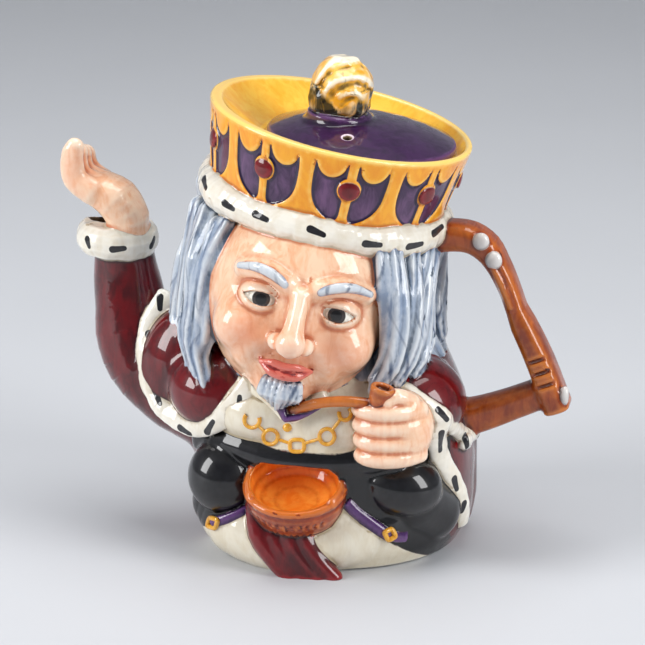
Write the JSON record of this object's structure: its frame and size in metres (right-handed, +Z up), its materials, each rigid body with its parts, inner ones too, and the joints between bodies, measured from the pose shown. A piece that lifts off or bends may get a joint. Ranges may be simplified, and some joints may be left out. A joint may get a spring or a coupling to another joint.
{
  "type": "figural teapot",
  "caption": "Glazed earthenware teapot shaped as a seated king: arm spout, fiddle handle, crown mouth and a domed lid.",
  "frame": {"origin": "on the ground, under the middle of the pot's base", "axes": "+Z up; the king looks along -Y; the spout is on -X and the handle on +X"},
  "size_m": [0.1914, 0.1186, 0.1852],
  "materials": {
    "glazed_body": "high gloss glaze over hand-painted colours",
    "glazed_lid": "high gloss purple glaze, yellow and white knob"
  },
  "bodies": {
    "root": {"teapot_body": "glazed_body", "lid": "glazed_lid"}
  },
  "joints": []
}
